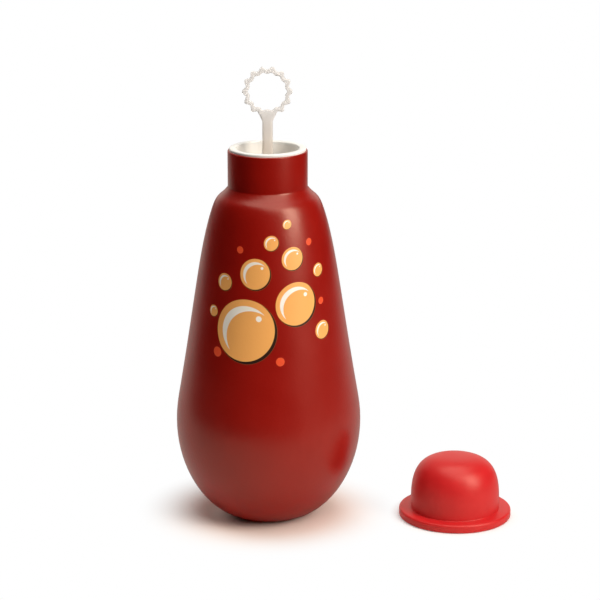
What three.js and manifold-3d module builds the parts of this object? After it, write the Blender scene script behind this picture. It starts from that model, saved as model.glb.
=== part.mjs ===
// A pear-shaped bubble bottle with its dipping wand raised in the mouth, and its hat-shaped cap standing beside it.
// Millimetres, +Z up. The origin is the centre of the bottle's flat base, and the front of the bottle faces -Y.
import * as THREE from 'three';
import { mergeVertices } from 'three/addons/utils/BufferGeometryUtils.js';
import Module from 'manifold-3d';

const wasm = await Module();
wasm.setup();

// Bottle: a blow-moulded pear with a straight neck
const bottleHeight = 132.1; // base to the neck's top edge
const bodyWall = 1.6;
const baseRadius = 13; // the flat disc that it stands on
const baseRise = 17.4; // degrees at which the bottom leaves that disc
const baseFullness = 12.8; // how far the bottom keeps to that slope
const flankRadius = 31.95; // where the round belly passes into the long side
const flankHeight = 43.4;
const flankLean = 10; // degrees that the side leans in there
const flankFullnessBelow = 21.6;
const flankFullnessAbove = 34.8;
const shoulderWidth = 6.8; // from the neck out to where the long side turns over
const shoulderDrop = 11.8; // from the neck's foot down to there
const shoulderLean = 15.3; // degrees that the long side leans in there
const shoulderFullnessBelow = 13.8;
const shoulderFullnessAbove = 11.1;
const neckRadius = 13.9;
const neckWall = 1.4;
const neckHeight = 12.8; // crease at the shoulder to the top edge
const neckSlope = 54.7; // degrees at which the shoulder meets the neck
const neckFullness = 5.8;
const neckEdgeRound = 0.6;

// Liner: the white flanged sleeve in the neck, with a ledge at its foot
const linerClearance = 0.2;
const linerWall = 1.3;
const linerLength = 19; // below the neck's top edge
const lipHeight = 0.9; // above the neck's top edge
const lipInset = 0.6; // the lip's edge stays this far inside the neck's
const lipRound = 0.4;
const ledgeWidth = 1.1;
const ledgeThickness = 1.5;

// Wand: a serrated loop on a flat stem with chamfered edges
const loopRise = 19.5; // the loop's centre above the lip
const loopTipRadius = 8.7;
const loopTeeth = 14;
const toothDepth = 1.1;
const holeToothDepth = 0.5; // the hole's edge follows the teeth, but less deeply
const toothFlat = 4.5; // degrees of blunt tip, and of blunt valley
const loopBand = 1.9; // radial width of the zigzag band at a tip
const loopThickness = 2.2;
const loopEdge = 0.25;
const stemWidth = 3.6;
const stemThickness = 2.6;
const stemChamfer = 0.8;
const stemReach = 116.5; // from the loop's centre to the stem's end
const flareWidth = 6.8; // where the stem spreads to meet the loop
const flareLength = 3.3;

// Guide: a ring on the liner's ledge, with a slotted hub on a bar across it
const guideClearance = 0.2;
const guideRingWidth = 1.3;
const guideRingHeight = 3;
const barWidth = 3.2;
const barHeight = 2;
const hubFloor = 1.4;
const hubWall = 0.8;
const slotClearance = 0.25; // round the stem

// Wiper: the soft ring in the hub's pocket
const wiperWidth = 1.6; // from the stem's broad side out to the rim
const wiperHeight = 1.8;
const wiperClearance = 0.15; // round the stem, and to the pocket's wall

// Cap: a bowler hat that pushes over the neck
const capClearance = 0.3; // to the neck
const capWall = 1.55;
const capTop = 1.7;
const capHeight = 22;
const crownStraight = 4.2; // upright wall above the brim
const crownFullness = 0.95; // share of the dome's height that it keeps upright
const crownFlatness = 0.57; // share of the dome's radius that it keeps level
const brimWidth = 4.2;
const brimThickness = 3;
const brimRound = 0.7;
const boreChamfer = 0.5;
const plugStep = 1.8; // how far the crown narrows above the seal's flange
const capGap = 14; // between the bottle's belly and the brim
const capForward = 5; // the cap's centre in front of the bottle's

// Seal: the flanged gasket pushed up into the crown
const sealClearance = 0.2;
const sealThickness = 1.2;
const sealPlugHeight = 1.7;
const sealWidth = 3.7; // radial width of the flange

// Facets
const sides = 48;
const fineSides = 32;
const curveSteps = 8;
const insideSteps = 4;
const roundSteps = 3;

const toRadians = THREE.MathUtils.degToRad;
const at = (radius, height) => new THREE.Vector2(radius, height);

// Heights and radii that the pieces share
const neckFoot = bottleHeight - neckHeight;
const neckBore = neckRadius - neckWall;
const linerRadius = neckBore - linerClearance;
const linerBore = linerRadius - linerWall;
const linerFoot = bottleHeight - linerLength;
const lipRadius = neckRadius - lipInset;
const lipTop = bottleHeight + lipHeight;
const guideSeat = linerFoot + ledgeThickness;
const wiperSeat = guideSeat + hubFloor;
const wiperRadius = stemWidth / 2 + wiperWidth;
const hubRadius = wiperRadius + wiperClearance + hubWall;
const loopHeight = lipTop + loopRise;
const capBore = neckRadius + capClearance;
const crownRadius = capBore + capWall;
const brimRadius = crownRadius + brimWidth;
const sealFace = neckHeight + lipHeight; // in the cap, the height where it meets the lip
const sealRadius = lipRadius;
const plugBore = sealRadius + sealClearance - plugStep;

// Points along a curve from one place to another, leaving and arriving along the two handles.
function curve(start, startHandle, endHandle, end, steps) {
  return new THREE.CubicBezierCurve(start, startHandle, endHandle, end).getPoints(steps);
}

// The upward direction of a side that leans in by an angle in degrees.
function leaning(degrees) {
  return at(-Math.sin(toRadians(degrees)), Math.cos(toRadians(degrees)));
}

// The place at a distance from another along a direction.
function along(place, direction, distance) {
  return place.clone().addScaledVector(direction, distance);
}

// Points along a rounded edge, with its angles in degrees from the outward direction.
function rounded(centreRadius, centreHeight, size, from, to) {
  const points = [];
  for (let step = 0; step <= roundSteps; step += 1) {
    const angle = toRadians(from + ((to - from) * step) / roundSteps);
    points.push(at(centreRadius + size * Math.cos(angle), centreHeight + size * Math.sin(angle)));
  }
  return points;
}

// A profile of radius and height turned about the Z axis.
function turned(points, facets = sides) {
  return new THREE.LatheGeometry(points, facets).rotateX(Math.PI / 2);
}

// A flat outline given a height along Z.
function raised(shape, height, base) {
  const options = { depth: height, bevelEnabled: false, curveSegments: fineSides };
  return new THREE.ExtrudeGeometry(shape, options).translate(0, 0, base);
}

// A closed geometry as a solid that can be joined and cut.
function solidOf(geometry) {
  const bare = geometry.clone();
  bare.deleteAttribute('normal');
  bare.deleteAttribute('uv');
  const merged = mergeVertices(bare);
  return new wasm.Manifold(new wasm.Mesh({
    numProp: 3,
    vertProperties: new Float32Array(merged.getAttribute('position').array),
    triVerts: new Uint32Array(merged.getIndex().array),
  }));
}

function geometryOf(solid) {
  const mesh = solid.getMesh();
  const geometry = new THREE.BufferGeometry();
  geometry.setAttribute('position', new THREE.BufferAttribute(mesh.vertProperties, 3));
  geometry.setIndex(new THREE.BufferAttribute(mesh.triVerts, 1));
  geometry.computeVertexNormals();
  return geometry;
}

function piece(name, geometry, color, roughness) {
  const material = new THREE.MeshStandardMaterial({ color, roughness, metalness: 0 });
  const mesh = new THREE.Mesh(geometry, material);
  mesh.name = name;
  return mesh;
}

// The bottle's skin from the flat base to the neck's foot, drawn in by a wall's thickness for the inside.
function pearSkin(wall, neckInset, steps) {
  const rise = toRadians(baseRise);
  const slope = toRadians(neckSlope);
  const base = at(baseRadius, wall);
  const flank = at(flankRadius - wall, flankHeight);
  const shoulder = at(neckRadius + shoulderWidth - wall, neckFoot - shoulderDrop);
  const neck = at(neckRadius - neckInset, neckFoot - wall * Math.cos(slope));
  const outFromBase = at(Math.cos(rise), Math.sin(rise));
  const upFlank = leaning(flankLean);
  const upShoulder = leaning(shoulderLean);
  const outFromNeck = at(Math.cos(slope), -Math.sin(slope));
  const belly = curve(
    base,
    along(base, outFromBase, baseFullness),
    along(flank, upFlank, -flankFullnessBelow),
    flank,
    2 * steps,
  );
  const side = curve(
    flank,
    along(flank, upFlank, flankFullnessAbove),
    along(shoulder, upShoulder, -shoulderFullnessBelow),
    shoulder,
    steps,
  );
  const turn = curve(
    shoulder,
    along(shoulder, upShoulder, shoulderFullnessAbove),
    along(neck, outFromNeck, neckFullness),
    neck,
    steps,
  );
  return [...belly, ...side.slice(1), ...turn.slice(1)];
}

function bottleShell() {
  const outside = pearSkin(0, 0, curveSteps);
  const inside = pearSkin(bodyWall, neckWall, insideSteps);
  return turned([
    at(0, 0),
    ...outside,
    ...rounded(neckRadius - neckEdgeRound, bottleHeight - neckEdgeRound, neckEdgeRound, 0, 90),
    at(neckBore, bottleHeight),
    ...inside.reverse(),
    at(0, bodyWall),
  ]);
}

function neckLiner() {
  const ledgeBore = linerBore - ledgeWidth;
  return turned([
    at(ledgeBore, linerFoot),
    at(linerRadius, linerFoot),
    at(linerRadius, bottleHeight),
    at(lipRadius, bottleHeight),
    ...rounded(lipRadius - lipRound, lipTop - lipRound, lipRound, 0, 90),
    ...rounded(linerBore + lipRound, lipTop - lipRound, lipRound, 90, 180),
    at(linerBore, guideSeat),
    at(ledgeBore, guideSeat),
    at(ledgeBore, linerFoot),
  ]);
}

// The stem's section, grown by a clearance for the slots that it runs in.
function stemSection(clearance) {
  const halfWidth = stemWidth / 2 + clearance;
  const halfDepth = stemThickness / 2 + clearance;
  const section = new THREE.Shape();
  section.moveTo(halfWidth - stemChamfer, -halfDepth);
  section.lineTo(halfWidth, -halfDepth + stemChamfer);
  section.lineTo(halfWidth, halfDepth - stemChamfer);
  section.lineTo(halfWidth - stemChamfer, halfDepth);
  section.lineTo(-halfWidth + stemChamfer, halfDepth);
  section.lineTo(-halfWidth, halfDepth - stemChamfer);
  section.lineTo(-halfWidth, -halfDepth + stemChamfer);
  section.lineTo(-halfWidth + stemChamfer, -halfDepth);
  section.closePath();
  return section;
}

function wandGuide() {
  const ringRadius = linerBore - guideClearance;
  const ringBore = ringRadius - guideRingWidth;
  const ringTop = guideSeat + guideRingHeight;
  const hubTop = wiperSeat + wiperHeight;
  const ring = solidOf(turned([
    at(ringBore, guideSeat),
    at(ringRadius, guideSeat),
    at(ringRadius, ringTop),
    at(ringBore, ringTop),
    at(ringBore, guideSeat),
  ]));
  const barLength = 2 * (ringRadius - guideRingWidth / 2);
  const bar = solidOf(new THREE.BoxGeometry(barLength, barWidth, barHeight)
    .translate(0, 0, guideSeat + barHeight / 2));
  const hub = solidOf(turned([
    at(0, guideSeat),
    at(hubRadius, guideSeat),
    at(hubRadius, hubTop),
    at(0, hubTop),
  ], fineSides));
  const pocketRadius = wiperRadius + wiperClearance;
  const pocket = solidOf(turned([
    at(0, wiperSeat),
    at(pocketRadius, wiperSeat),
    at(pocketRadius, hubTop + wiperHeight),
    at(0, hubTop + wiperHeight),
  ], fineSides));
  const slot = solidOf(raised(stemSection(slotClearance), 2 * hubFloor, guideSeat - hubFloor / 2));
  return geometryOf(ring.add(bar).add(hub).subtract(pocket).subtract(slot));
}

function wiperRing() {
  const rim = new THREE.Shape();
  rim.absarc(0, 0, wiperRadius, 0, 2 * Math.PI);
  const hole = new THREE.Path(stemSection(wiperClearance).getPoints());
  rim.holes.push(hole);
  return raised(rim, wiperHeight, wiperSeat);
}

// One zigzag outline of the loop: a blunt tip and a blunt valley for each tooth.
function zigzag(tipRadius, depth) {
  const pitch = (2 * Math.PI) / loopTeeth;
  const half = toRadians(toothFlat) / 2;
  const points = [];
  for (let tooth = 0; tooth < loopTeeth; tooth += 1) {
    const tip = tooth * pitch;
    const valley = tip + pitch / 2;
    for (const [angle, radius] of [
      [tip - half, tipRadius],
      [tip + half, tipRadius],
      [valley - half, tipRadius - depth],
      [valley + half, tipRadius - depth],
    ]) {
      points.push(at(radius * Math.cos(angle), radius * Math.sin(angle)));
    }
  }
  return points;
}

function bubbleWand() {
  const band = new THREE.Shape(zigzag(loopTipRadius, toothDepth));
  band.holes.push(new THREE.Path(zigzag(loopTipRadius - loopBand, holeToothDepth)));
  const flat = loopThickness - 2 * loopEdge;
  const loop = solidOf(new THREE.ExtrudeGeometry(band, {
    depth: flat,
    bevelEnabled: true,
    bevelThickness: loopEdge,
    bevelSize: loopEdge,
    bevelOffset: -loopEdge,
    bevelSegments: 1,
  }).translate(0, 0, -flat / 2));

  // The stem runs up into the band, and spreads just below it.
  const bandMiddle = loopTipRadius - (toothDepth + loopBand + holeToothDepth) / 2;
  const flareFoot = bandMiddle + flareLength;
  const spread = new THREE.Shape();
  spread.moveTo(-flareWidth / 2, -bandMiddle);
  spread.lineTo(-stemWidth / 2, -flareFoot);
  spread.lineTo(stemWidth / 2, -flareFoot);
  spread.lineTo(flareWidth / 2, -bandMiddle);
  spread.closePath();
  const flare = solidOf(new THREE.ExtrudeGeometry(spread, { depth: flat, bevelEnabled: false })
    .translate(0, 0, -flat / 2));
  const stem = solidOf(raised(stemSection(0), stemReach - bandMiddle, -stemReach)
    .rotateX(-Math.PI / 2));
  return geometryOf(loop.add(flare).add(stem)).rotateX(Math.PI / 2).translate(0, 0, loopHeight);
}

function hatCap() {
  const domeFoot = brimThickness + crownStraight;
  const domeRise = capHeight - domeFoot;
  const dome = curve(
    at(crownRadius, domeFoot),
    at(crownRadius, domeFoot + crownFullness * domeRise),
    at(crownFlatness * crownRadius, capHeight),
    at(0, capHeight),
    2 * curveSteps,
  );
  const flangeBore = sealRadius + sealClearance;
  const flangeTop = sealFace + sealThickness;
  const plugTop = flangeTop + sealPlugHeight;
  const ceiling = capHeight - capTop;
  const inside = curve(
    at(0, ceiling),
    at(crownFlatness * plugBore, ceiling),
    at(plugBore, ceiling - crownFlatness * (ceiling - plugTop)),
    at(plugBore, plugTop),
    insideSteps,
  );
  return turned([
    ...inside,
    at(plugBore, flangeTop),
    at(flangeBore, flangeTop),
    at(flangeBore, sealFace),
    at(capBore, sealFace),
    at(capBore, boreChamfer),
    at(capBore + boreChamfer, 0),
    ...rounded(brimRadius - brimRound, brimRound, brimRound, -90, 0),
    ...rounded(brimRadius - brimRound, brimThickness - brimRound, brimRound, 0, 90),
    at(crownRadius, brimThickness),
    ...dome,
  ]);
}

function capSeal() {
  const bore = sealRadius - sealWidth;
  const flangeTop = sealFace + sealThickness;
  const plugRadius = plugBore - sealClearance;
  return turned([
    at(bore, sealFace),
    at(sealRadius, sealFace),
    at(sealRadius, flangeTop),
    at(plugRadius, flangeTop),
    at(plugRadius, flangeTop + sealPlugHeight),
    at(bore, flangeTop + sealPlugHeight),
    at(bore, sealFace),
  ]);
}

const bottle = new THREE.Group();
bottle.add(
  piece('bottle_shell', bottleShell(), 0x8c1a14, 0.42),
  piece('neck_liner', neckLiner(), 0xf0eee6, 0.5),
  piece('wand_guide', wandGuide(), 0xf0eee6, 0.5),
  piece('wiper_ring', wiperRing(), 0xd9d6cc, 0.8),
  piece('bubble_wand', bubbleWand(), 0xece5dc, 0.35),
);

const cap = new THREE.Group();
const bellyRadius = Math.max(...pearSkin(0, 0, curveSteps).map((point) => point.x));
cap.position.set(bellyRadius + capGap + brimRadius, -capForward, 0);
cap.add(
  piece('hat_cap', hatCap(), 0xd32a2a, 0.45),
  piece('cap_seal', capSeal(), 0xf4f2ec, 0.8),
);

const bubbleBottle = new THREE.Group();
bubbleBottle.add(bottle, cap);

export default bubbleBottle;
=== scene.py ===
import math
import bpy
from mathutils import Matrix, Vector
from mathutils.geometry import interpolate_bezier


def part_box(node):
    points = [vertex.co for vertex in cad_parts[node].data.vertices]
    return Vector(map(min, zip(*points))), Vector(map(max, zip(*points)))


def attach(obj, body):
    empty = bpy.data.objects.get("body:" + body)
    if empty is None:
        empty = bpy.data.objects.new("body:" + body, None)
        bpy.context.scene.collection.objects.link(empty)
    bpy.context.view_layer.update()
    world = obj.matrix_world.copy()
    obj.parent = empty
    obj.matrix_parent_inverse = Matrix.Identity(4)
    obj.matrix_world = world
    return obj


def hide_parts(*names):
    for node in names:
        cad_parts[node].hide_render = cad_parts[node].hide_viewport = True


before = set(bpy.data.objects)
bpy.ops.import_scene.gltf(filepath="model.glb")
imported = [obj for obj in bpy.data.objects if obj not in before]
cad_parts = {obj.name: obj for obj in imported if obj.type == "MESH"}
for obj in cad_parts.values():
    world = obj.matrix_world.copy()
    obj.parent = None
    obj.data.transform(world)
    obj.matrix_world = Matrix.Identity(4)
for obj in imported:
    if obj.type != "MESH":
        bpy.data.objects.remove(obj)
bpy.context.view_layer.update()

mm = 0.001
turnSteps = 128         # sides of a turned piece
smallSteps = 96         # and of a small one
ringSegments = 4        # steps across a rounded ring
edgeSegments = 3        # steps across a rounded straight edge
smoothAngle = 32        # degrees: smaller turns are shaded as one surface
mergeWithin = 0.002     # mm
nearEnough = 0.01       # mm, for picking edges by their place
longStep = 1.0          # mm, tells the edges that run along a side from the others
print("frame loaded:", ", ".join(sorted(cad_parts)))


# Small helpers for editing meshes

def selectNone():
    if bpy.context.object and bpy.context.object.mode != "OBJECT":
        bpy.ops.object.mode_set(mode="OBJECT")
    bpy.ops.object.select_all(action="DESELECT")


def pickOnly(made):
    selectNone()
    made.select_set(True)
    bpy.context.view_layer.objects.active = made


def nameIt(made, name):
    made.name = name
    made.data.name = name


def drawLine(name, points):    # a plane merged to one vertex, extruded through points given in mm
    selectNone()
    here = Vector(points[0])
    bpy.ops.mesh.primitive_plane_add(size=mm, location=here * mm)
    made = bpy.context.object
    nameIt(made, name)
    bpy.ops.object.transform_apply(location=True)
    bpy.ops.object.mode_set(mode="EDIT")
    bpy.ops.mesh.select_mode(type="VERT")
    bpy.ops.mesh.merge(type="CENTER")
    for point in points[1:]:
        step = (Vector(point) - here) * mm
        bpy.ops.mesh.extrude_region_move(TRANSFORM_OT_translate={"value": step})
        here = Vector(point)
    return made


def tidyMesh():    # in edit mode: one closed skin that faces out
    bpy.ops.mesh.select_all(action="SELECT")
    bpy.ops.mesh.remove_doubles(threshold=mergeWithin * mm)
    bpy.ops.mesh.normals_make_consistent(inside=False)


def selectEdges(made, wanted):    # picks edges by the place of their two ends, in mm
    bpy.ops.mesh.select_mode(type="EDGE")
    bpy.ops.mesh.select_all(action="DESELECT")
    bpy.ops.object.mode_set(mode="OBJECT")
    places = [vertex.co / mm for vertex in made.data.vertices]
    for edge in made.data.edges:
        edge.select = wanted(places[edge.vertices[0]], places[edge.vertices[1]])
    bpy.ops.object.mode_set(mode="EDIT")


def selectRing(made, centre, radius, height):    # one ring of a turned piece
    def onRing(place):
        away = Vector((place.x - centre[0], place.y - centre[1])).length
        return abs(away - radius) < nearEnough and abs(place.z - height) < nearEnough
    selectEdges(made, lambda first, second: onRing(first) and onRing(second))


def finishSmooth(made, angle=smoothAngle):
    pickOnly(made)
    bpy.ops.object.shade_smooth_by_angle(angle=math.radians(angle))
    return made


def turnPiece(name, profile, centre=(0, 0), steps=turnSteps, rounded=()):    # radii and heights
    made = drawLine(name, [(centre[0] + radius, centre[1], height) for radius, height in profile])
    bpy.ops.mesh.select_all(action="SELECT")
    axisPoint = (centre[0] * mm, centre[1] * mm, 0)
    bpy.ops.mesh.spin(steps=steps, angle=2 * math.pi, center=axisPoint, axis=(0, 0, 1))
    tidyMesh()
    for radius, height, width in rounded:    # soft edges, by the ring that they lie on
        selectRing(made, centre, radius, height)
        bpy.ops.mesh.bevel(offset=width * mm, segments=ringSegments, affect="EDGES")
    tidyMesh()
    return finishSmooth(made)


def joinSolid(made, other, operation="UNION"):    # one solid from two, or a cut
    pickOnly(made)
    join = made.modifiers.new("join", "BOOLEAN")
    join.operation = operation
    join.solver = "EXACT"
    join.object = other
    bpy.ops.object.modifier_apply(modifier=join.name)
    bpy.data.objects.remove(other, do_unlink=True)


def boxPiece(name, size, centre):    # a cube at its size and place in mm, left in edit mode
    selectNone()
    bpy.ops.mesh.primitive_cube_add(size=1)
    made = bpy.context.object
    nameIt(made, name)
    bpy.ops.object.mode_set(mode="EDIT")
    bpy.ops.transform.resize(value=[side * mm for side in size], center_override=(0, 0, 0))
    bpy.ops.transform.translate(value=[place * mm for place in centre])
    return made


def curvePoints(start, leave, arrive, end, steps):    # a cubic curve in the profile plane
    corners = [Vector((point[0], point[1], 0)) for point in (start, leave, arrive, end)]
    return [(point.x, point.y) for point in interpolate_bezier(*corners, steps + 1)]


def boxOf(node):    # a node's corners in mm
    low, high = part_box(node)
    return Vector(low) / mm, Vector(high) / mm


# Small helpers for materials

plainDetail = 2.0            # of a noise
fineDetail = 3.0
mottleRange = (0.3, 0.7)     # where most of a noise's values lie
plainWhite = (1, 1, 1, 1)


class Nodes:
    def __init__(self, tree):
        self.tree = tree

    def add(self, kind):
        return self.tree.nodes.new("ShaderNode" + kind)

    def feed(self, socket, value):
        if isinstance(value, bpy.types.NodeSocket):
            self.tree.links.new(value, socket)
        else:
            socket.default_value = value

    def sum(self, operation, first, second=0.0, third=0.0, clamp=False):
        node = self.add("Math")
        node.operation = operation
        node.use_clamp = clamp
        for socket, value in zip(node.inputs, (first, second, third)):
            self.feed(socket, value)
        return node.outputs[0]

    def blend(self, amount, under, over):
        node = self.add("Mix")
        node.data_type = "RGBA"
        self.feed(node.inputs[0], amount)
        self.feed(node.inputs[6], under)    # the sockets for colours
        self.feed(node.inputs[7], over)
        return node.outputs[2]

    def range(self, value, fromLow, fromHigh, toLow, toHigh, smooth=False):
        node = self.add("MapRange")
        if smooth:
            node.interpolation_type = "SMOOTHSTEP"
        limits = {"From Min": fromLow, "From Max": fromHigh, "To Min": toLow, "To Max": toHigh}
        self.feed(node.inputs["Value"], value)
        for label, number in limits.items():
            node.inputs[label].default_value = number
        return node.outputs[0]

    def distance(self, place, x, y):    # from a point given in mm
        node = self.add("VectorMath")
        node.operation = "DISTANCE"
        node.inputs[1].default_value = (x * mm, y * mm, 0)
        self.feed(node.inputs[0], place)
        return node.outputs["Value"]

    def split(self, place):
        node = self.add("SeparateXYZ")
        self.feed(node.inputs[0], place)
        return node.outputs


class Paint(Nodes):    # a material with one principled shader
    def __init__(self, name):
        self.material = bpy.data.materials.new(name)
        self.material.use_nodes = True
        super().__init__(self.material.node_tree)
        self.shader = self.tree.nodes["Principled BSDF"].inputs
        self.place = self.add("TexCoord").outputs["Object"]

    def noise(self, size, detail, stretch=(1, 1, 1)):    # size of the grain in mm
        mapping = self.add("Mapping")
        mapping.inputs["Scale"].default_value = stretch
        self.feed(mapping.inputs["Vector"], self.place)
        node = self.add("TexNoise")
        node.inputs["Scale"].default_value = 1 / (size * mm)
        node.inputs["Detail"].default_value = detail
        self.feed(node.inputs["Vector"], mapping.outputs["Vector"])
        return node.outputs["Fac"]

    def bump(self, height, depth):    # depth in mm
        node = self.add("Bump")
        node.inputs["Distance"].default_value = depth * mm
        self.feed(node.inputs["Height"], height)
        self.feed(self.shader["Normal"], node.outputs["Normal"])

    def soften(self, weight, reach, tint):    # light that goes a little way into the plastic
        self.shader["Subsurface Weight"].default_value = weight
        self.shader["Subsurface Scale"].default_value = reach * mm
        self.shader["Subsurface Radius"].default_value = tint

    def glaze(self, level, tint):
        self.shader["Specular IOR Level"].default_value = level
        self.shader["Specular Tint"].default_value = tint

    def dress(self, made, slot, body, *nodes):
        made.data.materials.clear()
        made.data.materials.append(self.material)
        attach(made, body)
        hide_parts(*nodes)


def shade(red, green, blue):    # a screen colour, 0 to 255, as the shader's linear colour
    def linear(value):
        value = value / 255
        return value / 12.92 if value <= 0.04045 else ((value + 0.055) / 1.055) ** 2.4
    return (linear(red), linear(green), linear(blue), 1.0)


# Camera

cameraSetup = {
    "place": (11.2, -782.8, 293.3),    # mm
    "tilt": 74.64,                     # degrees from straight down
    "lens": 138.4,
    "sensor": 36.0,
}

cameraData = bpy.data.cameras.new("viewer")
cameraData.lens = cameraSetup["lens"]
cameraData.sensor_width = cameraSetup["sensor"]
camera = bpy.data.objects.new("viewer", cameraData)
camera.location = [place * mm for place in cameraSetup["place"]]
camera.rotation_euler = (math.radians(cameraSetup["tilt"]), 0, 0)
bpy.context.scene.collection.objects.link(camera)
bpy.context.scene.camera = camera
bpy.context.scene.view_settings.view_transform = "Standard"
print("camera placed")


# Bottle

bottleShape = {    # mm and degrees
    "baseRadius": 13.0, "baseRise": 17.4, "baseFullness": 12.8,
    "flankRadius": 31.94, "flankHeight": 43.4, "flankLean": 10.0,
    "flankFullnessBelow": 21.6, "flankFullnessAbove": 34.8,
    "shoulderWidth": 6.8, "shoulderDrop": 11.8, "shoulderLean": 15.3,
    "shoulderFullnessBelow": 13.8, "shoulderFullnessAbove": 11.1,
    "neckRadius": 13.9, "neckHeight": 12.8, "neckSlope": 54.7, "neckFullness": 5.8,
    "bodyWall": 1.6, "neckWall": 1.4,
    "rimRound": 0.35, "creaseRound": 0.25, "footRound": 0.5,
    "outsideSteps": 22, "insideSteps": 12,
}


def leaning(place, degrees, distance):    # a place further up a side that leans in
    turn = math.radians(degrees)
    return place[0] - distance * math.sin(turn), place[1] + distance * math.cos(turn)


def rising(place, degrees, distance):    # a place further out along a slope
    turn = math.radians(degrees)
    return place[0] + distance * math.cos(turn), place[1] + distance * math.sin(turn)


def pearSkin(top, wall, neckRadius, steps):    # from the base to the neck's foot, drawn in by a wall
    shape = bottleShape
    neckFoot = top - shape["neckHeight"]
    base = (shape["baseRadius"], wall)
    flank = (shape["flankRadius"] - wall, shape["flankHeight"])
    shoulder = (shape["neckRadius"] + shape["shoulderWidth"] - wall, neckFoot - shape["shoulderDrop"])
    neck = (neckRadius, neckFoot - wall * math.cos(math.radians(shape["neckSlope"])))
    belly = curvePoints(base, rising(base, shape["baseRise"], shape["baseFullness"]),
                        leaning(flank, shape["flankLean"], -shape["flankFullnessBelow"]), flank, steps)
    side = curvePoints(flank, leaning(flank, shape["flankLean"], shape["flankFullnessAbove"]),
                       leaning(shoulder, shape["shoulderLean"], -shape["shoulderFullnessBelow"]),
                       shoulder, steps)
    turn = curvePoints(shoulder,
                       leaning(shoulder, shape["shoulderLean"], shape["shoulderFullnessAbove"]),
                       rising(neck, -shape["neckSlope"], shape["neckFullness"]), neck, steps)
    return belly + side[1:] + turn[1:]


def makeBottle():
    low, high = boxOf("bottle_shell")
    shape = bottleShape
    neck = shape["neckRadius"]
    bore = neck - shape["neckWall"]
    outside = pearSkin(high.z, 0, neck, shape["outsideSteps"])
    inside = pearSkin(high.z, shape["bodyWall"], bore, shape["insideSteps"])
    profile = [(0, low.z)] + outside + [(neck, high.z), (bore, high.z)]
    profile += inside[::-1] + [(0, low.z + shape["bodyWall"])]
    rounded = [(neck, high.z, shape["rimRound"]),
               (neck, high.z - shape["neckHeight"], shape["creaseRound"]),
               (shape["baseRadius"], low.z, shape["footRound"])]
    return turnPiece("bottle_body", profile, rounded=rounded)


bottle = makeBottle()
print("bottle turned")


# Neck liner with its lip and inner ledge

linerShape = {    # mm
    "clearance": 0.2, "wall": 1.3, "lipInset": 0.6, "lipRound": 0.4,
    "ledgeWidth": 1.1, "ledgeThickness": 1.5, "ledgeRound": 0.2,
}


def makeLiner():
    low, high = boxOf("neck_liner")
    shape = linerShape
    seat = boxOf("bottle_shell")[1].z    # the lip lies on the neck's top edge
    outer = bottleShape["neckRadius"] - bottleShape["neckWall"] - shape["clearance"]
    bore = outer - shape["wall"]
    lip = bottleShape["neckRadius"] - shape["lipInset"]
    ledge = bore - shape["ledgeWidth"]
    ledgeTop = low.z + shape["ledgeThickness"]
    profile = [(ledge, low.z), (outer, low.z), (outer, seat), (lip, seat), (lip, high.z),
               (bore, high.z), (bore, ledgeTop), (ledge, ledgeTop), (ledge, low.z)]
    rounded = [(lip, high.z, shape["lipRound"]), (bore, high.z, shape["lipRound"]),
               (ledge, ledgeTop, shape["ledgeRound"])]
    return turnPiece("neck_liner_moulded", profile, rounded=rounded)


liner = makeLiner()
print("liner turned")


# Dipping wand: toothed loop, flared neck and chamfered stem

wandShape = {    # mm and degrees
    "teeth": 14, "toothDepth": 1.1, "holeToothDepth": 0.5, "toothFlat": 4.5, "band": 1.9,
    "thickness": 2.2, "edge": 0.3, "edgeAbove": 12, "smoothAngle": 28,
    "stemWidth": 3.6, "stemThickness": 2.6, "stemChamfer": 0.8,
    "flareWidth": 6.8, "flareLength": 3.3, "flareThinning": 0.8,
}


def toothAngles():    # the corners of each blunt tip and blunt valley, and whether they are low
    pitch = 360 / wandShape["teeth"]
    half = wandShape["toothFlat"] / 2
    for tooth in range(wandShape["teeth"]):
        for middle, low in ((0, False), (pitch / 2, True)):
            for side in (-half, half):
                yield math.radians(tooth * pitch + middle + side), low


def drawTeeth(name, tip, depth, centre):    # a closed zigzag on the loop's front face
    outline = []
    front = -wandShape["thickness"] / 2
    for angle, low in toothAngles():
        radius = tip - depth if low else tip
        outline.append((radius * math.cos(angle), front, centre + radius * math.sin(angle)))
    made = drawLine(name, outline + outline[:1])
    tidyMesh()
    bpy.ops.object.mode_set(mode="OBJECT")
    return made


def makeLoop(tip, centre):
    loop = drawTeeth("bubble_wand_moulded", tip, wandShape["toothDepth"], centre)
    hole = drawTeeth("wand_hole", tip - wandShape["band"], wandShape["holeToothDepth"], centre)
    pickOnly(loop)
    hole.select_set(True)
    bpy.ops.object.join()
    bpy.ops.object.mode_set(mode="EDIT")
    bpy.ops.mesh.select_mode(type="EDGE")
    bpy.ops.mesh.select_all(action="SELECT")
    bpy.ops.mesh.bridge_edge_loops()
    bpy.ops.mesh.select_all(action="SELECT")
    depth = wandShape["thickness"] * mm
    bpy.ops.mesh.extrude_region_move(TRANSFORM_OT_translate={"value": (0, depth, 0)})
    tidyMesh()
    bpy.ops.object.mode_set(mode="OBJECT")
    softEdge = loop.modifiers.new("softEdge", "BEVEL")
    softEdge.width = wandShape["edge"] * mm
    softEdge.segments = edgeSegments
    softEdge.limit_method = "ANGLE"
    softEdge.angle_limit = math.radians(wandShape["edgeAbove"])
    bpy.ops.object.modifier_apply(modifier=softEdge.name)
    return loop


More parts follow.
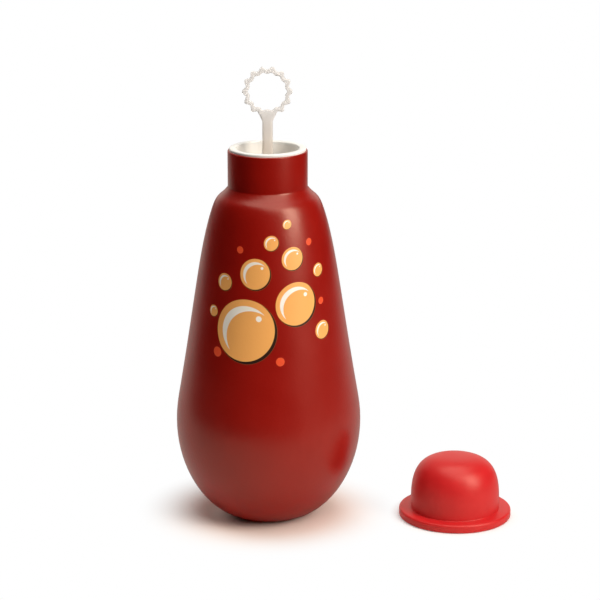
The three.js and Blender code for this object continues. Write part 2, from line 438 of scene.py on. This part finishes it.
def makeStem(foot, top):
    size = (wandShape["stemWidth"], wandShape["stemThickness"], top - foot)
    stem = boxPiece("wand_stem", size, (0, 0, (top + foot) / 2))
    selectEdges(stem, lambda first, second: abs(first.z - second.z) > longStep)
    chamfer = wandShape["stemChamfer"] * mm
    bpy.ops.mesh.bevel(offset=chamfer, segments=edgeSegments, affect="EDGES")
    bpy.ops.mesh.select_all(action="SELECT")
    flareFoot = top - wandShape["flareLength"]
    bpy.ops.mesh.bisect(plane_co=(0, 0, flareFoot * mm), plane_no=(0, 0, 1))
    selectEdges(stem, lambda first, second: min(first.z, second.z) > top - nearEnough)
    spread = wandShape["flareWidth"] / wandShape["stemWidth"]
    flare = (spread, wandShape["flareThinning"], 1)
    bpy.ops.transform.resize(value=flare, center_override=(0, 0, top * mm))
    tidyMesh()
    bpy.ops.object.mode_set(mode="OBJECT")
    return stem


def makeWand():
    low, high = boxOf("bubble_wand")
    tip = (high.x - low.x) / 2
    highest = max(math.sin(angle) for angle, valley in toothAngles() if not valley)
    centre = high.z - tip * highest    # the highest tooth stands at the wand's top
    bandMiddle = tip - (wandShape["toothDepth"] + wandShape["band"] + wandShape["holeToothDepth"]) / 2
    loop = makeLoop(tip, centre)
    joinSolid(loop, makeStem(low.z, centre - bandMiddle))
    return finishSmooth(loop, wandShape["smoothAngle"])


wand = makeWand()
print("wand shaped")


# Wand guide and its wiper ring, low in the neck

guideShape = {    # mm
    "ringWidth": 1.3, "ringHeight": 3.0, "barWidth": 3.2, "barHeight": 2.0, "barReach": 0.3,
    "hubWall": 0.8, "edge": 0.2, "slotClearance": 0.25, "slotDepth": 8.0,
    "wiperClearance": 0.15, "wiperRound": 0.3, "wiperSlotClearance": 0.15,
}


def cutSlot(made, height, clearance):    # the passage for the wand's stem
    size = (wandShape["stemWidth"] + 2 * clearance, wandShape["stemThickness"] + 2 * clearance,
            guideShape["slotDepth"])
    slot = boxPiece("stem_slot", size, (0, 0, height))
    bpy.ops.object.mode_set(mode="OBJECT")
    joinSolid(made, slot, "DIFFERENCE")


def makeGuide():
    low, high = boxOf("wand_guide")
    pocketFloor, wiperTop = [corner.z for corner in boxOf("wiper_ring")]
    pocket = boxOf("wiper_ring")[1].x + guideShape["wiperClearance"]
    hub = pocket + guideShape["hubWall"]
    edge = guideShape["edge"]
    outer = high.x
    inner = outer - guideShape["ringWidth"]
    ringTop = low.z + guideShape["ringHeight"]
    band = [(inner, low.z), (outer, low.z), (outer, ringTop), (inner, ringTop), (inner, low.z)]
    ring = turnPiece("wand_guide_moulded", band,
                     rounded=[(outer, ringTop, edge), (inner, ringTop, edge)])
    barSize = (2 * (inner + guideShape["barReach"]), guideShape["barWidth"], guideShape["barHeight"])
    bar = boxPiece("guide_bar", barSize, (0, 0, low.z + guideShape["barHeight"] / 2))

    def alongTop(first, second):    # the bar's two long upper edges
        return min(first.z, second.z) > low.z + longStep and abs(first.x - second.x) > longStep

    selectEdges(bar, alongTop)
    bpy.ops.mesh.bevel(offset=edge * mm, segments=edgeSegments, affect="EDGES")
    bpy.ops.object.mode_set(mode="OBJECT")
    joinSolid(ring, bar)
    cup = turnPiece("guide_cup", [(0, low.z), (hub, low.z), (hub, high.z), (0, high.z)],
                    steps=smallSteps, rounded=[(hub, high.z, edge)])
    joinSolid(ring, cup)
    above = wiperTop + guideShape["hubWall"]
    hollow = [(0, pocketFloor), (pocket, pocketFloor), (pocket, above), (0, above)]
    seat = turnPiece("guide_pocket", hollow, steps=smallSteps)
    joinSolid(ring, seat, "DIFFERENCE")
    cutSlot(ring, low.z, guideShape["slotClearance"])
    return finishSmooth(ring)


def makeWiper():
    low, high = boxOf("wiper_ring")
    ring = turnPiece("wiper_ring_soft", [(0, low.z), (high.x, low.z), (high.x, high.z), (0, high.z)],
                     steps=smallSteps, rounded=[(high.x, high.z, guideShape["wiperRound"])])
    cutSlot(ring, low.z, guideShape["wiperSlotClearance"])
    return finishSmooth(ring)


guide = makeGuide()
wiper = makeWiper()
print("guide and wiper made")


# Hat cap, and the seal pushed up into its crown

hatShape = {    # mm, and shares of the dome's height and radius
    "crownStraight": 4.2, "crownFullness": 0.95, "crownFlatness": 0.57,
    "crownWall": 1.55, "topWall": 1.7,
    "brimWidth": 4.2, "brimThickness": 3.0, "brimRound": 0.7, "footRound": 0.3, "boreChamfer": 0.5,
    "plugStep": 1.8, "domeSteps": 32, "ceilingSteps": 12,
}
sealShape = {"clearance": 0.2, "thickness": 1.2, "width": 3.7, "edge": 0.2}    # mm


def middleOf(node):
    low, high = boxOf(node)
    return (low.x + high.x) / 2, (low.y + high.y) / 2


def plugBore():    # the narrow part of the crown, above the seal's flange
    low, high = boxOf("cap_seal")
    return (high.x - low.x) / 2 + sealShape["clearance"] - hatShape["plugStep"]


def makeHat():
    low, high = boxOf("hat_cap")
    sealLow, sealHigh = boxOf("cap_seal")
    shape = hatShape
    brim = (high.x - low.x) / 2
    crown = brim - shape["brimWidth"]
    bore = crown - shape["crownWall"]
    brimTop = low.z + shape["brimThickness"]
    domeFoot = brimTop + shape["crownStraight"]
    fullness = shape["crownFullness"] * (high.z - domeFoot)
    dome = curvePoints((crown, domeFoot), (crown, domeFoot + fullness),
                       (shape["crownFlatness"] * crown, high.z), (0, high.z), shape["domeSteps"])
    ceiling = high.z - shape["topWall"]
    plug = plugBore()
    reach = shape["crownFlatness"] * (ceiling - sealHigh.z)
    inside = curvePoints((0, ceiling), (shape["crownFlatness"] * plug, ceiling),
                         (plug, ceiling - reach), (plug, sealHigh.z), shape["ceilingSteps"])
    flange = plug + shape["plugStep"]
    flangeTop = sealLow.z + sealShape["thickness"]
    profile = inside + [(plug, flangeTop), (flange, flangeTop), (flange, sealLow.z), (bore, sealLow.z),
                        (bore, low.z + shape["boreChamfer"]), (bore + shape["boreChamfer"], low.z),
                        (brim, low.z), (brim, brimTop), (crown, brimTop)] + dome
    rounded = [(brim, low.z, shape["brimRound"]), (brim, brimTop, shape["brimRound"]),
               (crown, brimTop, shape["footRound"])]
    return turnPiece("hat_cap_moulded", profile, middleOf("hat_cap"), rounded=rounded)


def makeSeal():
    low, high = boxOf("cap_seal")
    shape = sealShape
    rim = (high.x - low.x) / 2
    bore = rim - shape["width"]
    plug = plugBore() - shape["clearance"]
    flangeTop = low.z + shape["thickness"]
    profile = [(bore, low.z), (rim, low.z), (rim, flangeTop), (plug, flangeTop), (plug, high.z),
               (bore, high.z), (bore, low.z)]
    rounded = [(bore, low.z, shape["edge"]), (rim, low.z, shape["edge"]), (plug, high.z, shape["edge"])]
    return turnPiece("cap_seal_soft", profile, middleOf("cap_seal"), steps=smallSteps, rounded=rounded)


hat = makeHat()
seal = makeSeal()
print("hat and seal turned")


# Bottle finish: satin lacquer with a printed front

bottlePrint = {    # rising bubbles: place round the front, height and radius in mm
    "bubbles": ((-7.5, 74.0, 11.0), (10.5, 83.0, 7.6), (-4.0, 93.5, 5.4), (9.0, 98.5, 4.0),
                (-15.5, 90.0, 3.0), (1.5, 104.0, 2.6), (19.5, 93.5, 2.3), (21.0, 73.0, 3.2),
                (-20.5, 79.5, 2.0), (7.0, 110.0, 1.6)),
    "drops": ((4.5, 64.0, 1.5), (-18.5, 66.0, 1.7), (15.5, 103.5, 1.2), (-9.5, 101.5, 1.2),
              (20.5, 83.0, 1.2)),
    "tan": shade(250, 178, 98), "white": shade(252, 246, 236), "dark": shade(34, 18, 15),
    "orange": shade(236, 82, 44), "edge": 0.12,
    # shares of a bubble's radius
    "shineRadius": 0.8, "shineCut": 0.82, "shineShift": 0.17,
    "glintRadius": 0.09, "glintShift": 0.42, "rimRadius": 0.98, "rimShift": 0.06,
}
lacquerLook = {    # sizes and depths in mm, the ink's height as a share of the peel's depth
    "dark": shade(140, 11, 4), "light": shade(150, 14, 6), "mottle": 14, "gloss": (0.29, 0.34),
    "inkGloss": 0.08, "level": 0.7, "tint": (1.0, 0.75, 0.6, 1.0), "peel": 0.9, "peelDepth": 0.035,
    "inkHeight": 0.45,
}


def bubblePrint(paint, under):    # inks the bubbles over a colour, and says where there is ink
    ink = bottlePrint
    x, y, z = paint.split(paint.place)
    toward = paint.sum("MULTIPLY", y, -1.0)
    angle = paint.sum("ARCTAN2", x, toward)
    radius = paint.sum("SQRT", paint.sum("MULTIPLY_ADD", toward, toward, paint.sum("MULTIPLY", x, x)))
    sheet = paint.add("CombineXYZ")
    paint.feed(sheet.inputs["X"], paint.sum("MULTIPLY", angle, radius))
    paint.feed(sheet.inputs["Y"], z)

    def disc(across, up, size):    # half covered at its edge
        away = paint.distance(sheet.outputs[0], across, up)
        slope = -1 / (ink["edge"] * mm)
        middle = size / ink["edge"] + 0.5
        return paint.sum("MULTIPLY_ADD", away, slope, middle, clamp=True)

    colour = under
    inked = 0.0
    for across, up, size in ink["bubbles"]:
        def part(shareX, shareY, shareSize):
            return disc(across + shareX * size, up + shareY * size, shareSize * size)
        ball = part(0, 0, 1)
        cut = part(ink["shineShift"], -ink["shineShift"], ink["shineCut"])
        shine = paint.sum("SUBTRACT", part(0, 0, ink["shineRadius"]), cut, clamp=True)
        glint = part(ink["glintShift"], ink["glintShift"], ink["glintRadius"])
        lit = part(-ink["rimShift"], ink["rimShift"], ink["rimRadius"])
        colour = paint.blend(ball, colour, ink["tan"])
        colour = paint.blend(paint.sum("MAXIMUM", shine, glint), colour, ink["white"])
        colour = paint.blend(paint.sum("SUBTRACT", ball, lit, clamp=True), colour, ink["dark"])
        inked = paint.sum("MAXIMUM", ball, inked)
    for across, up, size in ink["drops"]:
        drop = disc(across, up, size)
        colour = paint.blend(drop, colour, ink["orange"])
        inked = paint.sum("MAXIMUM", drop, inked)
    return colour, inked


def lacquerRed():
    look = lacquerLook
    paint = Paint("bottle lacquer")
    mottle = paint.noise(look["mottle"], plainDetail)
    colour, inked = bubblePrint(paint, paint.blend(mottle, look["dark"], look["light"]))
    paint.feed(paint.shader["Base Color"], colour)
    gloss = paint.range(mottle, *mottleRange, *look["gloss"])
    paint.feed(paint.shader["Roughness"], paint.sum("MULTIPLY_ADD", inked, look["inkGloss"], gloss))
    paint.glaze(look["level"], look["tint"])
    peel = paint.noise(look["peel"], plainDetail)
    paint.bump(paint.sum("MULTIPLY_ADD", inked, look["inkHeight"], peel), look["peelDepth"])
    return paint


# Finishes of the moulded and soft pieces: grain sizes and depths in mm

hatLook = {
    "name": "hat plastic", "dark": shade(195, 28, 31), "light": shade(203, 32, 35), "mottle": 9,
    "gloss": (0.38, 0.44), "grain": 0.4, "grainDepth": 0.008,
    "level": 0.5, "tint": (1.0, 0.84, 0.7, 1.0),
}
linerLook = {
    "name": "liner plastic", "dark": shade(245, 241, 234), "light": shade(247, 244, 238), "mottle": 6,
    "gloss": (0.34, 0.46), "grain": 0.3, "grainDepth": 0.005, "soft": (0.12, 0.6, (1.0, 0.9, 0.8)),
    # painted light: the inside below the lip is painted paler than the lip, for light filling the shaded
    # mouth
    "paintedLightTop": shade(241, 240, 236), "paintedLightFrom": 131.6, "paintedLightTo": 132.4,
}
wandLook = {
    "name": "wand plastic", "dark": shade(235, 226, 217), "light": shade(241, 233, 225), "mottle": 5,
    "stretch": (1, 1, 0.35), "gloss": (0.32, 0.45), "grain": 1.5, "grainDepth": 0.005,
    # painted light: the loop is painted paler, for light through its thin plastic, the stem darker and
    # warmer, for red bounce from the bottle
    "paintedLightTop": shade(246, 242, 238), "paintedLightFrom": 138, "paintedLightTo": 147, "clear": 0.55, "bending": 1.12,
}
wiperLook = {
    "name": "wiper rubber", "dark": shade(204, 200, 190), "light": shade(222, 219, 210), "mottle": 1.2,
    "gloss": (0.62, 0.75), "grain": 0.2, "grainDepth": 0.01,
}
sealLook = {
    "name": "seal foam", "dark": shade(228, 225, 217), "light": shade(240, 238, 232), "mottle": 1.6,
    "gloss": (0.66, 0.8), "grain": 0.3, "grainDepth": 0.02, "soft": (0.3, 1.0, (1.0, 0.95, 0.9)),
}


def mouldedFinish(look):    # mottled colour, uneven gloss and a fine grain
    paint = Paint(look["name"])
    mottle = paint.noise(look["mottle"], fineDetail, look.get("stretch", (1, 1, 1)))
    colour = paint.blend(mottle, look["dark"], look["light"])
    if "paintedLightTop" in look:    # painted light: another colour towards the top, standing in for light and shade there
        height = paint.split(paint.place)[2]
        rise = paint.range(height, look["paintedLightFrom"] * mm, look["paintedLightTo"] * mm, 0, 1, smooth=True)
        colour = paint.blend(rise, colour, look["paintedLightTop"])
    paint.feed(paint.shader["Base Color"], colour)
    paint.feed(paint.shader["Roughness"], paint.range(mottle, *mottleRange, *look["gloss"]))
    paint.bump(paint.noise(look["grain"], plainDetail), look["grainDepth"])
    if "soft" in look:
        paint.soften(*look["soft"])
    if "clear" in look:    # milky plastic
        paint.shader["Transmission Weight"].default_value = look["clear"]
        paint.shader["IOR"].default_value = look["bending"]
    if "level" in look:
        paint.glaze(look["level"], look["tint"])
    return paint


lacquerRed().dress(bottle, "bottle_red", "bottle", "bottle_shell")
linerWhite = mouldedFinish(linerLook)
linerWhite.dress(liner, "liner_white", "bottle", "neck_liner")
linerWhite.dress(guide, "liner_white", "bottle", "wand_guide")
mouldedFinish(wiperLook).dress(wiper, "soft_ring", "bottle", "wiper_ring")
mouldedFinish(wandLook).dress(wand, "wand_white", "wand", "bubble_wand")
mouldedFinish(hatLook).dress(hat, "hat_red", "cap", "hat_cap")
mouldedFinish(sealLook).dress(seal, "seal_white", "cap", "cap_seal")
print("finishes set")


# Floor, world and lamps

floorSetup = {    # a pale sheet, in mm and degrees, cut to its edges
    "sheet": 2000, "drop": 0.05,
    "left": -240, "leftSlant": 38, "right": 420, "front": -190, "back": 900,
    "paintedBounceNear": (0.95, 0.81, 0.73, 1), "far": (0.92, 0.9, 0.88, 1),    # painted red bounce: warm beside the bottle, for the red light it throws on the floor
    "paintedShadeSeenNear": (0.4, 0.34, 0.3, 1), "seenGlow": 0.62,             # what the gloss of the pieces reflects; the floor beside them is painted shade there, darker and warm
    "seenTint": (1.0, 0.95, 0.86, 1),
    "bottleShadow": (22, 48), "hatShadow": (17, 25),               # where shadow gives way to white
}


def cutFloor():
    selectNone()
    below = (0, 0, -floorSetup["drop"] * mm)
    bpy.ops.mesh.primitive_plane_add(size=floorSetup["sheet"] * mm, location=below)
    floor = bpy.context.object
    nameIt(floor, "floor")
    bpy.ops.object.mode_set(mode="EDIT")
    slant = math.radians(floorSetup["leftSlant"])    # the left edge runs outwards to the back
    edges = (((floorSetup["left"], 0), (math.cos(slant), math.sin(slant))),
             ((floorSetup["right"], 0), (-1, 0)),
             ((0, floorSetup["front"]), (0, 1)),
             ((0, floorSetup["back"]), (0, -1)))
    for (x, y), inward in edges:
        bpy.ops.mesh.select_all(action="SELECT")
        bpy.ops.mesh.bisect(plane_co=(x * mm, y * mm, 0), plane_no=(*inward, 0), clear_inner=True)
    bpy.ops.object.mode_set(mode="OBJECT")
    return floor


def makeFloor():    # white to the camera and through the wand, except where the pieces shade it
    material = bpy.data.materials.new("pale floor")
    material.use_nodes = True
    net = Nodes(material.node_tree)
    net.tree.nodes.clear()
    path = net.add("LightPath").outputs
    place = net.add("TexCoord").outputs["Object"]

    def lift(node, start, end):
        return net.range(net.distance(place, *middleOf(node)), start * mm, end * mm, 0, 1, smooth=True)

    byBottle = lift("bottle_shell", *floorSetup["bottleShadow"])
    clear = net.sum("MINIMUM", byBottle, lift("hat_cap", *floorSetup["hatShadow"]))
    # painted red bounce: the floor is painted warm beside the bottle
    paintedBounceTone = net.blend(byBottle, floorSetup["paintedBounceNear"], floorSetup["far"])
    plain = net.add("BsdfDiffuse")
    # painted shade: rays reflected by the pieces' gloss see the floor beside them darker
    net.feed(plain.inputs["Color"], net.blend(path["Is Glossy Ray"], paintedBounceTone, floorSetup["paintedShadeSeenNear"]))
    white = net.sum("MAXIMUM", path["Is Camera Ray"], path["Is Transmission Ray"])
    glow = net.add("Emission")
    net.feed(glow.inputs["Strength"], net.range(white, 0, 1, floorSetup["seenGlow"], 1))
    net.feed(glow.inputs["Color"], net.blend(white, floorSetup["seenTint"], plainWhite))
    mix = net.add("MixShader")
    seen = net.sum("MAXIMUM", white, path["Is Glossy Ray"])
    net.feed(mix.inputs[0], net.sum("MULTIPLY", seen, clear))
    net.feed(mix.inputs[1], plain.outputs[0])
    net.feed(mix.inputs[2], glow.outputs[0])
    net.feed(net.add("OutputMaterial").inputs[0], mix.outputs[0])
    cutFloor().data.materials.append(material)


worldSetup = {
    "litFront": 0.0, "litBack": 0.2,        # what lights the pieces
    "seenFront": 0.02, "seenBack": 1.0,     # what their gloss reflects
    "turnFrom": 0.6, "turnTo": 0.95,        # where front gives way to back, along +Y
    "lowest": -0.02,                        # neither shines from below this height
    "ceiling": 2.6,                         # the gloss also reflects a bright part overhead
    "ceilingRise": (0.72, 0.95),            # where it begins, upwards
    "ceilingTurn": (0.15, 0.4),             # and along +Y
    "tint": (1.0, 0.93, 0.83, 1.0),
}


def makeWorld():
    world = bpy.data.worlds.new("studio")
    bpy.context.scene.world = world
    world.use_nodes = True
    net = Nodes(world.node_tree)
    background = net.tree.nodes["Background"].inputs
    path = net.add("LightPath").outputs
    direction = net.split(net.add("TexCoord").outputs["Generated"])
    y = direction["Y"]
    z = direction["Z"]
    above = net.sum("GREATER_THAN", z, worldSetup["lowest"])

    def level(front, back):
        depth = net.range(y, worldSetup["turnFrom"], worldSetup["turnTo"], front, back, smooth=True)
        return net.sum("MULTIPLY", depth, above)

    lit = level(worldSetup["litFront"], worldSetup["litBack"])
    rise = net.range(z, *worldSetup["ceilingRise"], 0, worldSetup["ceiling"], smooth=True)
    overhead = net.sum("MULTIPLY", rise, net.range(y, *worldSetup["ceilingTurn"], 0, 1, smooth=True))
    seen = net.sum("MAXIMUM", level(worldSetup["seenFront"], worldSetup["seenBack"]), overhead)
    strength = net.sum("MULTIPLY_ADD", path["Is Glossy Ray"], net.sum("SUBTRACT", seen, lit), lit)
    white = net.sum("MAXIMUM", path["Is Camera Ray"], path["Is Transmission Ray"])
    net.feed(background["Strength"], net.sum("MAXIMUM", strength, white))
    net.feed(background["Color"], net.blend(white, worldSetup["tint"], plainWhite))


lampSetup = {    # degrees, metres and watts
    "key": {"azimuth": 53, "height": 31, "distance": 1.0, "size": (0.44, 0.65), "watts": 8.5,
            "colour": (1, 0.94, 0.86), "reflected": True},
    "top": {"azimuth": 35, "height": 79, "distance": 1.1, "size": (0.95, 1.5), "watts": 12.0,
            "colour": (1, 0.97, 0.94), "reflected": True},
    "rim": {"azimuth": -140, "height": 14, "distance": 1.2, "size": (0.8, 0.9), "watts": 8.5,
            "colour": (1, 0.96, 0.92), "reflected": False},
}
lampAim = Vector((20, 0, 70))    # mm


def makeLamp(name, setup):
    lampData = bpy.data.lights.new(name, "AREA")
    lampData.shape = "RECTANGLE"
    lampData.size, lampData.size_y = setup["size"]
    lampData.energy = setup["watts"]
    lampData.color = setup["colour"]
    lamp = bpy.data.objects.new(name, lampData)
    turn = math.radians(setup["azimuth"])
    rise = math.radians(setup["height"])
    away = Vector((math.sin(turn) * math.cos(rise), -math.cos(turn) * math.cos(rise), math.sin(rise)))
    lamp.location = lampAim * mm + away * setup["distance"]
    lamp.rotation_euler = away.to_track_quat("Z", "Y").to_euler()
    lamp.visible_glossy = setup["reflected"]
    lamp.visible_transmission = False    # not seen through the wand
    bpy.context.scene.collection.objects.link(lamp)


makeFloor()
makeWorld()
for lampName, lampValues in lampSetup.items():
    makeLamp(lampName, lampValues)
print("stage lit")
